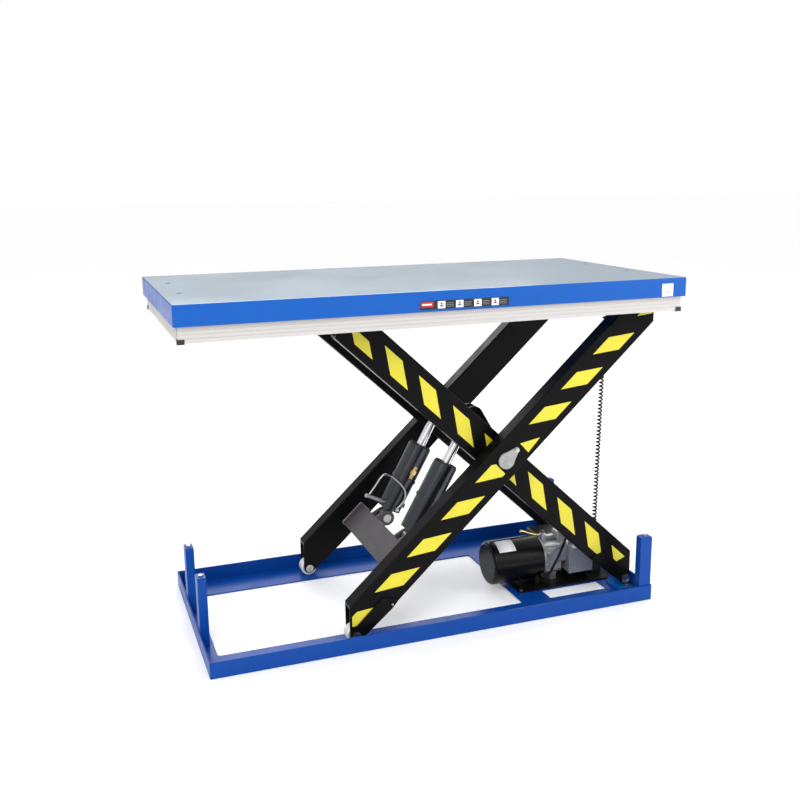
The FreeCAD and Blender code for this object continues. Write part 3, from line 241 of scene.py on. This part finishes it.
# The deck's upper face is glossier than its skirt, and its paler blue is a painted sheen of the light
# glancing off it.
TOP_DEPTH = 0.0005
top_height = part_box("platform_deck")[1][2]
paint_faces("platform_deck", DECK_TOP_PAINTED_SHEEN,
            lambda face: face.normal.z > 0.9 and face.center.z > top_height - TOP_DEPTH)

# The flow valve is brass, and the pipe's two end fittings in the same node are steel.
STEEL_FITTINGS_END = 0.12
paint_faces("flow_valve", STEEL,
            lambda face: (face.center - BARREL_EYE).dot(ROD_AXIS) < STEEL_FITTINGS_END)


# ---------------------------------------------------------------- mesh helpers

def mesh_object(name, verts, faces, material, body, smooth=False):
    data = bpy.data.meshes.new(name)
    data.from_pydata([tuple(v) for v in verts], [], faces)
    data.update()
    obj = bpy.data.objects.new(name, data)
    bpy.context.scene.collection.objects.link(obj)
    data.materials.append(material)
    for polygon in data.polygons:
        polygon.use_smooth = smooth
    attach(obj, body)
    return obj


def add_plate(verts, faces, outline, normal, thickness):
    """Add a thin plate with this outline to a mesh's lists of points and faces."""
    start = len(verts)
    count = len(outline)
    lift = normal * thickness
    verts.extend(outline)
    verts.extend(p + lift for p in outline)
    faces.append(list(range(start, start + count)))
    faces.append(list(range(start + 2 * count - 1, start + count - 1, -1)))
    for i in range(count):
        j = (i + 1) % count
        faces.append([start + i, start + count + i, start + count + j, start + j])


def fix_normals(obj):
    shape = bmesh.new()
    shape.from_mesh(obj.data)
    bmesh.ops.recalc_face_normals(shape, faces=shape.faces)
    shape.to_mesh(obj.data)
    shape.free()


def ring_of(centre, direction, radius, sides):
    across = direction.orthogonal().normalized()
    other = direction.cross(across).normalized()
    return [centre + (across * math.cos(2 * math.pi * i / sides)
                      + other * math.sin(2 * math.pi * i / sides)) * radius for i in range(sides)]


def turned(name, centre, direction, profile, material, body, sides):
    """A lathe-turned piece. profile lists (distance along the axis, radius)."""
    direction = direction.normalized()
    verts = []
    faces = []
    for along, radius in profile:
        verts.extend(ring_of(centre + direction * along, direction, radius, sides))
    for k in range(len(profile) - 1):
        for i in range(sides):
            j = (i + 1) % sides
            faces.append([k * sides + i, k * sides + j, (k + 1) * sides + j, (k + 1) * sides + i])
    faces.append(list(range(sides))[::-1])
    faces.append(list(range((len(profile) - 1) * sides, len(profile) * sides)))
    obj = mesh_object(name, verts, faces, material, body)
    fix_normals(obj)
    edge_look(obj)


SHARP_ANGLE = math.radians(35.0)


def edge_look(obj):
    """Smooth shading that keeps the sharp edges sharp."""
    shape = bmesh.new()
    shape.from_mesh(obj.data)
    for edge in shape.edges:
        edge.smooth = len(edge.link_faces) == 2 and edge.calc_face_angle(0.0) < SHARP_ANGLE
    for face in shape.faces:
        face.smooth = True
    shape.to_mesh(obj.data)
    shape.free()


TUBE_SIDES = 8


def tube_along(name, points, radius, material, body):
    """A round tube whose ring centres are exactly the given points."""
    sides = TUBE_SIDES
    verts = []
    faces = []
    across = (points[1] - points[0]).orthogonal().normalized()
    for k, point in enumerate(points):
        before = points[max(k - 1, 0)]
        after = points[min(k + 1, len(points) - 1)]
        direction = (after - before).normalized()
        across = (across - direction * across.dot(direction)).normalized()
        other = direction.cross(across)
        for i in range(sides):
            turn = 2 * math.pi * i / sides
            verts.append(point + (across * math.cos(turn) + other * math.sin(turn)) * radius)
    for k in range(len(points) - 1):
        for i in range(sides):
            j = (i + 1) % sides
            faces.append([k * sides + i, k * sides + j, (k + 1) * sides + j, (k + 1) * sides + i])
    faces.append(list(range(sides))[::-1])
    faces.append(list(range((len(points) - 1) * sides, len(points) * sides)))
    obj = mesh_object(name, verts, faces, material, body, smooth=True)
    fix_normals(obj)
    return obj


def spline_points(route, resolution):
    """Points along a smooth curve with the route's points as its controls."""
    curve = bpy.data.curves.new("route", "CURVE")
    curve.dimensions = "3D"
    spline = curve.splines.new("NURBS")
    spline.points.add(len(route) - 1)
    for control, point in zip(spline.points, route):
        control.co = (*point, 1.0)
    spline.order_u = 3
    spline.use_endpoint_u = True
    spline.resolution_u = resolution
    holder = bpy.data.objects.new("route", curve)
    bpy.context.scene.collection.objects.link(holder)
    mesh = bpy.data.meshes.new_from_object(holder)
    points = [v.co.copy() for v in mesh.vertices]
    bpy.data.objects.remove(holder)
    return points


# ---------------------------------------------------------------- curly cord to the platform

CORD_ROUTE = [Vector((0.858, -0.1, 0.118)), Vector((0.8615, -0.1015, 0.42)), Vector((0.877, -0.0985, 0.98)),
              Vector((0.884, -0.1, 1.3345))]
CORD_TURNS = 72
HELIX_RADIUS = 0.0078
WIRE_RADIUS = 0.0036
STEPS_PER_TURN = 16
STEPS_PER_SPAN = 60
# The coil swells from nothing to its full radius over this length at each end.
TAIL = 0.035

line = spline_points(CORD_ROUTE, STEPS_PER_SPAN)
reach = [0.0]
for a, b in zip(line, line[1:]):
    reach.append(reach[-1] + (b - a).length)
helix = []
steps = CORD_TURNS * STEPS_PER_TURN
k = 0
for i in range(steps + 1):
    distance = reach[-1] * i / steps
    while k < len(line) - 2 and reach[k + 1] < distance:
        k += 1
    share = (distance - reach[k]) / (reach[k + 1] - reach[k])
    centre = line[k].lerp(line[k + 1], share)
    direction = (line[k + 1] - line[k]).normalized()
    across = Vector((0.0, 1.0, 0.0)).cross(direction).normalized()
    other = direction.cross(across)
    turn = 2 * math.pi * i / STEPS_PER_TURN
    end = min(1.0, min(distance, reach[-1] - distance) / TAIL)
    swell = HELIX_RADIUS * end * end * (3 - 2 * end)
    helix.append(centre + (across * math.cos(turn) + other * math.sin(turn)) * swell)
curly = tube_along("curly_cord_wire", helix, WIRE_RADIUS, RUBBER, "base")
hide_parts("curly_cord")
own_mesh(curly)


# ---------------------------------------------------------------- yellow marks on the arms

def arm_point(u, w, y, inner):
    """A point on an arm: u along it to the right, w above its middle line."""
    cosine, sine = math.cos(ARM_ANGLE), math.sin(ARM_ANGLE)
    if inner:
        return CENTRE + Vector((u * cosine + w * sine, y, -u * sine + w * cosine))
    return CENTRE + Vector((u * cosine - w * sine, y, u * sine + w * cosine))


def clip(outline, keep):
    """The part of a flat outline where keep(point) is positive."""
    result = []
    for a, b in zip(outline, outline[1:] + outline[:1]):
        fa, fb = keep(a), keep(b)
        if fa > 0:
            result.append(a)
        if fa * fb < 0:
            share = fa / (fa - fb)
            result.append((a[0] + (b[0] - a[0]) * share, a[1] + (b[1] - a[1]) * share))
    return result


MARK_TOP = 0.034
MARK_LOW = -0.038
MARK_LENGTH = 0.095
MARK_SLANT = 0.095
MARK_THICKNESS = 0.0003
KEEPER_EDGE = -0.040
LOW_END = 0.826
LOW_END_SLOPE = 0.9
DOUBLER_START = (-0.917, -0.022)
DOUBLER_SLOPE = 0.016 / 0.237
CUT_START = (-0.9168, -0.0207)
CUT_NORMAL = (0.733, -0.68)
CUT_MARGIN = 0.008


def above_doubler(point):
    """Positive above the slanted edge of the doubler plate at an outer arm's lower end."""
    return (point[1] - DOUBLER_START[1]) - (point[0] - DOUBLER_START[0]) * DOUBLER_SLOPE


def inside_end_cut(point):
    """Positive a little way inside the upright cut at an outer arm's lower end."""
    along, above = point[0] - CUT_START[0], point[1] - CUT_START[1]
    return CUT_NORMAL[0] * along + CUT_NORMAL[1] * above - CUT_MARGIN


def before_keeper(point):
    """Positive short of the keeper plate, where the mark that would run under it stops."""
    return KEEPER_EDGE - point[0]


def before_low_end(point):
    """Positive short of the last mark's end on an inner arm. The end's lower half is nearly upright."""
    return LOW_END - point[0] + LOW_END_SLOPE * min(point[1], 0.0)


def full_mark(start):
    return [(start, MARK_TOP), (start + MARK_LENGTH, MARK_TOP), (start + MARK_LENGTH + MARK_SLANT, MARK_LOW),
            (start + MARK_SLANT, MARK_LOW)]


OUTER_STARTS = (-0.923, -0.728, -0.545, -0.349, -0.151, 0.165, 0.356, 0.549, 0.752)
INNER_STARTS = (-0.860, -0.668, -0.481, -0.287, -0.100, 0.170, 0.360, 0.545, 0.733)
KEEPER_MARK = 4
OUTER_REMNANT = [(0.087, 0.005), (0.162, -0.043), (0.087, -0.050)]
INNER_REMNANT = [(0.125, -0.041), (0.128, -0.013), (0.170, -0.043)]


def mark_outlines(inner):
    """The outlines of the marks on one face, from the arm's left end to its right end."""
    if inner:
        return [clip(full_mark(start), before_low_end) for start in INNER_STARTS] + [INNER_REMNANT]
    outlines = [full_mark(start) for start in OUTER_STARTS]
    outlines[0] = clip(clip(outlines[0], above_doubler), inside_end_cut)
    outlines[KEEPER_MARK] = clip(outlines[KEEPER_MARK], before_keeper)
    return outlines + [OUTER_REMNANT]


def hazard_marks(name, face, inner, front, body):
    verts = []
    faces = []
    normal = Vector((0.0, front, 0.0))
    for outline in mark_outlines(inner):
        points = [arm_point(u, w, front * face, inner) for u, w in outline]
        add_plate(verts, faces, points, normal, MARK_THICKNESS)
    fix_normals(mesh_object(name, verts, faces, YELLOW, body))


for side, front in (("front", -1), ("rear", 1)):
    hazard_marks("marks_outer_" + side, OUTER_FACE, False, front, "outer_arms")
    hazard_marks("marks_inner_" + side, INNER_FACE, True, front, "inner_arms")


# ---------------------------------------------------------------- labels: generic marks, no lettering

LABEL_THICKNESS = 0.0002
SQUARE_STARTS = (-0.062, 0.009, 0.081, 0.151)
LINES_PER_SQUARE = 3
LINE_PITCH = 0.006


def label(name, x0, x1, z0, z1, layer, material):
    """A thin rectangle on the skirt's front. Each layer lies on the one below it."""
    verts = []
    faces = []
    y = SKIRT_FACE - layer * LABEL_THICKNESS
    outline = [Vector((x, y, z)) for x, z in ((x0, z0), (x1, z0), (x1, z1), (x0, z1))]
    add_plate(verts, faces, outline, Vector((0.0, -1.0, 0.0)), LABEL_THICKNESS)
    fix_normals(mesh_object(name, verts, faces, material, "platform"))


label("skirt_strip", -0.131, 0.221, 1.313, 1.344, 0, LABEL_BLACK)
label("skirt_strip_red", -0.128, -0.079, 1.322, 1.341, 1, LABEL_RED)
label("skirt_strip_bar", -0.122, -0.086, 1.329, 1.334, 2, LABEL_WHITE)
for i, x in enumerate(SQUARE_STARTS):
    label("skirt_square_%d" % i, x, x + 0.029, 1.3155, 1.3415, 1, LABEL_WHITE)
    label("skirt_square_mark_%d" % i, x + 0.008, x + 0.021, 1.322, 1.327, 2, LABEL_BLACK)
    label("skirt_square_dot_%d" % i, x + 0.011, x + 0.018, 1.329, 1.336, 2, LABEL_BLACK)
    for row in range(LINES_PER_SQUARE):
        rise = LINE_PITCH * row
        label("skirt_lines_%d_%d" % (i, row), x + 0.033, x + 0.061, 1.321 + rise, 1.3228 + rise, 1,
              LABEL_GREY)
label("skirt_end_square", 0.887, 0.938, 1.308, 1.358, 0, LABEL_WHITE)
label("skirt_end_mark", 0.908, 0.916, 1.320, 1.326, 1, LABEL_GREY)

# The blank plate on the motor follows its curve. Its angles are in degrees from the rear, over the top.
MOTOR_PLATE_ENDS = (0.356, 0.436)
MOTOR_PLATE_START = 92.0
MOTOR_PLATE_SWEEP = 43.0
MOTOR_PLATE_STEPS = 12
MOTOR_PLATE_GAP = 0.0003
MOTOR_PLATE_TOP = 0.0008

verts = []
faces = []
for i in range(MOTOR_PLATE_STEPS + 1):
    turn = math.radians(MOTOR_PLATE_START + MOTOR_PLATE_SWEEP * i / MOTOR_PLATE_STEPS)
    out = Vector((0.0, math.cos(turn), math.sin(turn)))
    for x in MOTOR_PLATE_ENDS:
        verts.append(Vector((x, 0.0, 0.0)) + MOTOR_AXIS + out * (MOTOR_RADIUS + MOTOR_PLATE_GAP))
        verts.append(Vector((x, 0.0, 0.0)) + MOTOR_AXIS + out * (MOTOR_RADIUS + MOTOR_PLATE_TOP))
for i in range(MOTOR_PLATE_STEPS):
    a = 4 * i
    faces += [[a, a + 2, a + 6, a + 4], [a + 1, a + 5, a + 7, a + 3], [a, a + 4, a + 5, a + 1],
              [a + 2, a + 3, a + 7, a + 6]]
last = 4 * MOTOR_PLATE_STEPS
faces += [[0, 1, 3, 2], [last, last + 2, last + 3, last + 1]]
fix_normals(mesh_object("motor_plate", verts, faces, LABEL_WHITE, "base", smooth=True))


# ---------------------------------------------------------------- small details

# Grease nipples on the outer arms' lower doubler plates. Places are along and above the arm.
NIPPLE_PLACE = (-0.716, -0.056)
NIPPLE_PROFILE = [(0.0, 0.0045), (0.003, 0.0045), (0.0032, 0.003), (0.006, 0.003), (0.0065, 0.0038),
                  (0.009, 0.002)]
for side, front in (("front", -1), ("rear", 1)):
    foot = arm_point(*NIPPLE_PLACE, front * (OUTER_FACE + DOUBLER), False)
    turned("grease_nipple_" + side, foot, Vector((0.0, front, 0.0)), NIPPLE_PROFILE, BRASS, "outer_arms", 16)

# Screws round the flange between the motor and the pump, at angles in degrees from the rear.
FLANGE_SCREW_ANGLES = (20.0, 160.0, 200.0, 340.0)
FLANGE_SCREW_CIRCLE = 0.072
FLANGE_SCREW_PROFILE = [(0.0, 0.006), (0.0055, 0.006), (0.006, 0.0055)]
for i, turn in enumerate(FLANGE_SCREW_ANGLES):
    out = Vector((0.0, math.cos(math.radians(turn)), math.sin(math.radians(turn))))
    seat = Vector((MOTOR_FLANGE_X, 0.0, 0.0)) + MOTOR_AXIS + out * FLANGE_SCREW_CIRCLE
    turned("flange_screw_%d" % i, seat, Vector((1.0, 0.0, 0.0)), FLANGE_SCREW_PROFILE, ZINC, "base", 16)

# Three plugs and four screws on the pump manifold's front face, as x, z and radius.
MANIFOLD_FACE = -0.158
MANIFOLD_PLUGS = ((0.604, 0.146, 0.011), (0.641, 0.104, 0.010), (0.598, 0.092, 0.008),
                  (0.587, 0.170, 0.0045), (0.651, 0.170, 0.0045), (0.651, 0.072, 0.0045),
                  (0.587, 0.070, 0.0045))
for i, (x, z, radius) in enumerate(MANIFOLD_PLUGS):
    turned("manifold_plug_%d" % i, Vector((x, MANIFOLD_FACE, z)), Vector((0.0, -1.0, 0.0)),
           [(0.0, radius), (0.006, radius), (0.007, 0.85 * radius), (0.007, 0.5 * radius),
            (0.004, 0.45 * radius)], STEEL, "base", 24)

WELD_STEP = 0.004
BEAM_WELD_RADIUS = 0.0035
LUG_WELD_RADIUS = 0.003
LUG_WELD_ENDS = (-0.006, -0.056)


def weld(name, corners, radius, body):
    """A round weld bead along straight runs. Its rippled look comes from its material."""
    points = []
    for a, b in zip(corners, corners[1:]):
        count = max(2, int((b - a).length / WELD_STEP))
        points.extend(a.lerp(b, i / count) for i in range(count))
    points.append(corners[-1])
    tube_along(name, points, radius, WELD, body)


for side, front in (("front", -1), ("rear", 1)):
    wall = front * (OUTER_FACE - ARM_WIDTH)
    rim = [(BEAM_START, 0.0), (BEAM_END, 0.0), (BEAM_END, -BEAM_DEPTH), (BEAM_START, -BEAM_DEPTH),
           (BEAM_START, 0.0)]
    weld("beam_weld_" + side, [arm_point(u, w, wall, False) for u, w in rim], BEAM_WELD_RADIUS, "outer_arms")
    for i, lug_side in enumerate(LUG_SIDES):
        seam = [arm_point(BEAM_END, w, front * lug_side, False) for w in LUG_WELD_ENDS]
        weld("lug_weld_%s_%d" % (side, i), seam, LUG_WELD_RADIUS, "outer_arms")


# ---------------------------------------------------------------- studio, camera and lights

FLOOR_REACH = 60.0
FLOOR_LEVEL = -0.0005
floor_data = bpy.data.meshes.new("floor")
floor_data.from_pydata([(x * FLOOR_REACH, y * FLOOR_REACH, FLOOR_LEVEL)
                        for x, y in ((-1, -1), (1, -1), (1, 1), (-1, 1))], [], [[0, 1, 2, 3]])
floor = bpy.data.objects.new("floor", floor_data)
bpy.context.scene.collection.objects.link(floor)
floor_data.materials.append(node_material("floor", (0.99, 0.99, 0.99), 0.6, drift=0.99, drift_scale=1.0,
                                             bump=0.02))

YAW = 0.34873
PITCH = 0.21904
ROLL = -0.01117
CAMERA_PLACE = (-1.3673, -3.7211, 1.7912)
forward = Vector((math.sin(YAW) * math.cos(PITCH), math.cos(YAW) * math.cos(PITCH), -math.sin(PITCH)))
right = Vector((math.cos(YAW), -math.sin(YAW), 0.0))
up = right.cross(forward)
rolled_right = right * math.cos(ROLL) + up * math.sin(ROLL)
rolled_up = up * math.cos(ROLL) - right * math.sin(ROLL)
camera_data = bpy.data.cameras.new("camera")
camera_data.sensor_width = 36.0
camera_data.lens = 43.679
camera_data.shift_x = -0.00479
camera_data.shift_y = -0.0130
camera = bpy.data.objects.new("camera", camera_data)
bpy.context.scene.collection.objects.link(camera)
rows = [(rolled_right[i], rolled_up[i], -forward[i], CAMERA_PLACE[i]) for i in range(3)]
camera.matrix_world = Matrix(rows + [(0.0, 0.0, 0.0, 1.0)])
bpy.context.scene.camera = camera


def area_light(name, place, target, size, power):
    data = bpy.data.lights.new(name, "AREA")
    data.shape = "RECTANGLE"
    data.size, data.size_y = size
    data.energy = power
    obj = bpy.data.objects.new(name, data)
    bpy.context.scene.collection.objects.link(obj)
    obj.location = place
    obj.rotation_euler = (Vector(target) - Vector(place)).to_track_quat("-Z", "Y").to_euler()


area_light("key", (-3.5, -4.5, 4.5), (0.0, 0.0, 0.7), (3.0, 3.0), 190.0)
area_light("fill", (4.5, -3.5, 2.5), (0.0, 0.0, 0.6), (3.0, 2.5), 130.0)
area_light("back", (1.0, 5.5, 4.0), (0.0, 0.0, 1.0), (5.0, 2.5), 170.0)

# The world lights the scene more from above than from the sides, and the camera sees it as plain white.
HORIZON_LIGHT = 0.42
OVERHEAD_LIGHT = 1.2
OVERHEAD_FROM = 0.8
world = bpy.data.worlds.new("studio")
world.use_nodes = True
tree = world.node_tree
lighting = tree.nodes["Background"]
lighting.inputs["Color"].default_value = (1.0, 1.0, 1.0, 1.0)
direction = tree.nodes.new("ShaderNodeTexCoord")
parts = tree.nodes.new("ShaderNodeSeparateXYZ")
brightness = tree.nodes.new("ShaderNodeMapRange")
brightness.inputs["From Min"].default_value = 0.0
brightness.inputs["From Max"].default_value = OVERHEAD_FROM
brightness.inputs["To Min"].default_value = HORIZON_LIGHT
brightness.inputs["To Max"].default_value = OVERHEAD_LIGHT
backdrop = tree.nodes.new("ShaderNodeBackground")
backdrop.inputs["Color"].default_value = (1.0, 1.0, 1.0, 1.0)
ray = tree.nodes.new("ShaderNodeLightPath")
choose = tree.nodes.new("ShaderNodeMixShader")
tree.links.new(direction.outputs["Generated"], parts.inputs["Vector"])
tree.links.new(parts.outputs["Z"], brightness.inputs["Value"])
tree.links.new(brightness.outputs["Result"], lighting.inputs["Strength"])
tree.links.new(ray.outputs["Is Camera Ray"], choose.inputs["Fac"])
tree.links.new(lighting.outputs["Background"], choose.inputs[1])
tree.links.new(backdrop.outputs["Background"], choose.inputs[2])
tree.links.new(choose.outputs["Shader"], tree.nodes["World Output"].inputs["Surface"])
bpy.context.scene.world = world
bpy.context.scene.view_settings.view_transform = "Standard"
